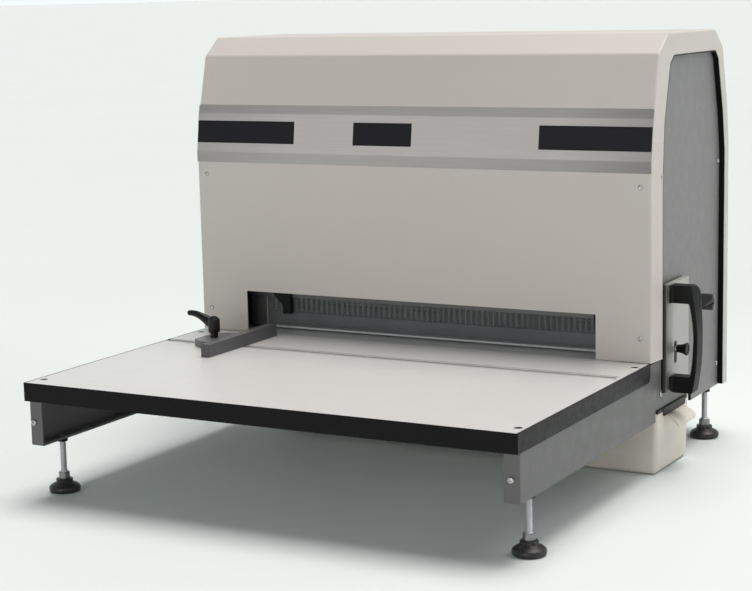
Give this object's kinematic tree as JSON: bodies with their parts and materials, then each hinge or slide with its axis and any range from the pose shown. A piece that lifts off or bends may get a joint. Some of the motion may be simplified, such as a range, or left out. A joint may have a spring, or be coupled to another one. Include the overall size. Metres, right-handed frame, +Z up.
{
  "type": "wire binding punch",
  "caption": "Bench punch for wire bindings: feed table on levelling feet, folded covers, pull-out die cassette with punch pins, cam-driven press beam, sliding side guide and waste bin.",
  "frame": {"origin": "middle of the object's width and depth, on the surface it stands on", "axes": "+X to the right seen from the operator, +Y from the operator to the back of the machine, +Z up"},
  "size_m": [0.7277, 0.7127, 0.5665],
  "materials": {
    "table_laminate": "light grey laminate, satin",
    "black_edge": "black edge banding, satin",
    "zinc": "bright zinc plating",
    "track_aluminium": "anodised extrusion",
    "rail_grey": "dark grey fine-texture powder coat",
    "panel_grey": "dark grey fine-texture powder coat",
    "cover_cream": "warm light grey fine-texture powder coat",
    "brushed_strip": "brushed along its length",
    "strip_black": "black print on brushed metal, satin",
    "guard_clear": "clear acrylic sheet with polished edges",
    "guard_aluminium": "satin anodised",
    "black_plastic": "black moulded plastic, fine grain",
    "gloss_black": "black moulded plastic, glossy",
    "lever_black": "black plastic-coated die casting",
    "inner_steel": "grey primer on steel",
    "bronze": "plain bearing bronze",
    "motor_grey": "painted casting",
    "control_plastic": "moulded housing",
    "tool_steel": "ground steel",
    "pin_steel": "ground pins",
    "plate_steel": "light satin metal plate",
    "spindle_chrome": "polished",
    "guide_grey": "dark grey fine-texture powder coat",
    "bin_cream": "cream moulded plastic, satin",
    "pad_black": "black foot plate"
  },
  "bodies": {
    "frame": {"table_board": "table_laminate", "table_edge_band": "black_edge", "table_screws": "zinc", "table_track": "track_aluminium", "side_rail_left": "rail_grey", "side_rail_right": "rail_grey", "foot_nuts": "black_plastic", "rail_screws": "zinc", "base_plate": "inner_steel", "die_bed": "inner_steel", "frame_plate_left": "inner_steel", "frame_plate_right": "inner_steel", "frame_tie_bars": "inner_steel", "shaft_bearings": "bronze", "beam_guides": "bronze", "gear_motor": "motor_grey", "control_box": "control_plastic", "front_cover": "cover_cream", "top_cover": "cover_cream", "rear_cover": "cover_cream", "side_panel_left": "panel_grey", "side_panel_right": "panel_grey", "label_strip": "brushed_strip", "label_bars": "strip_black", "cover_screws": "zinc", "guard_screen": "guard_clear", "guard_angle": "guard_aluminium", "guard_brackets": "black_plastic", "cassette_port": "black_plastic", "bin_runners": "inner_steel", "power_inlet": "black_plastic", "pedal_socket": "black_plastic"},
    "side_guide": {"guide_base": "guide_grey", "guide_bar": "guide_grey", "clamp_stud": "zinc"},
    "clamp_lever_body": {"clamp_lever": "lever_black"},
    "cassette": {"die_block": "tool_steel", "die_plate": "tool_steel", "pin_guide": "tool_steel", "cassette_ends": "tool_steel", "back_stop": "tool_steel", "cassette_plate": "plate_steel", "pull_handle": "black_plastic"},
    "lock_spindle_body": {"lock_spindle": "spindle_chrome"},
    "lock_knob_body": {"lock_knob": "black_plastic"},
    "punch_bar_body": {"punch_bar": "tool_steel", "punch_pins": "pin_steel"},
    "press_beam_body": {"press_beam": "inner_steel"},
    "drive_shaft_body": {"drive_shaft": "tool_steel"},
    "side_latch": {"side_latch_knob": "gloss_black"},
    "bin": {"waste_bin": "bin_cream"},
    "switch": {"rocker_switch": "gloss_black"},
    "foot_front_left": {"foot_stud_front_left": "zinc", "foot_pad_front_left": "pad_black"},
    "foot_front_right": {"foot_stud_front_right": "zinc", "foot_pad_front_right": "pad_black"},
    "foot_rear_left": {"foot_stud_rear_left": "zinc", "foot_pad_rear_left": "pad_black"},
    "foot_rear_right": {"foot_stud_rear_right": "zinc", "foot_pad_rear_right": "pad_black"}
  },
  "joints": [
    {"name": "side_guide_slide", "type": "slide", "parent": "frame", "child": "side_guide", "axis": [1, 0, 0], "range_m": [-0.05, 0.52]},
    {"name": "clamp_lever_turn", "type": "hinge", "parent": "side_guide", "child": "clamp_lever_body", "pos_m": [-0.2764, -0.04535, 0.175], "axis": [0, 0, 1], "range_deg": [-90, 180]},
    {"name": "cassette_slide", "type": "slide", "parent": "frame", "child": "cassette", "axis": [1, 0, 0], "range_m": [0, 0.55]},
    {"name": "lock_spindle_slide", "type": "slide", "parent": "cassette", "child": "lock_spindle_body", "axis": [0, 0, 1], "range_m": [-0.011, 0.0075]},
    {"name": "lock_knob_turn", "type": "hinge", "parent": "lock_spindle_body", "child": "lock_knob_body", "pos_m": [0.3376, 0.13465, 0.1575], "axis": [1, 0, 0], "range_deg": [-180, 180]},
    {"name": "drive_shaft_turn", "type": "hinge", "parent": "frame", "child": "drive_shaft_body", "pos_m": [-0.0164, 0.12865, 0.352], "axis": [1, 0, 0], "range_deg": [0, 180.5]},
    {"name": "press_beam_stroke", "type": "slide", "parent": "frame", "child": "press_beam_body", "axis": [0, 0, -1], "range_m": [0, 0.012]},
    {"name": "punch_bar_stroke", "type": "slide", "parent": "cassette", "child": "punch_bar_body", "axis": [0, 0, -1], "range_m": [0, 0.0121]},
    {"name": "side_latch_turn", "type": "hinge", "parent": "frame", "child": "side_latch", "pos_m": [0.3236, 0.26215, 0.1995], "axis": [1, 0, 0], "range_deg": [-90, 90]},
    {"name": "waste_bin_slide", "type": "slide", "parent": "frame", "child": "bin", "axis": [1, 0, 0], "range_m": [0, 0.5]},
    {"name": "rocker_switch_turn", "type": "hinge", "parent": "frame", "child": "switch", "pos_m": [-0.2089, 0.35065, 0.12], "axis": [1, 0, 0], "range_deg": [-16, 0]},
    {"name": "foot_front_left_adjust", "type": "slide", "parent": "frame", "child": "foot_front_left", "axis": [0, 0, -1], "range_m": [-0.006, 0.02]},
    {"name": "foot_front_right_adjust", "type": "slide", "parent": "frame", "child": "foot_front_right", "axis": [0, 0, -1], "range_m": [-0.006, 0.02]},
    {"name": "foot_rear_left_adjust", "type": "slide", "parent": "frame", "child": "foot_rear_left", "axis": [0, 0, -1], "range_m": [-0.006, 0.02]},
    {"name": "foot_rear_right_adjust", "type": "slide", "parent": "frame", "child": "foot_rear_right", "axis": [0, 0, -1], "range_m": [-0.006, 0.02]}
  ],
  "couplings": [
    {"joint": "drive_shaft_turn", "follows": "press_beam_stroke", "rad_per_m": 261.8},
    {"joint": "punch_bar_stroke", "follows": "press_beam_stroke", "ratio": 1}
  ]
}
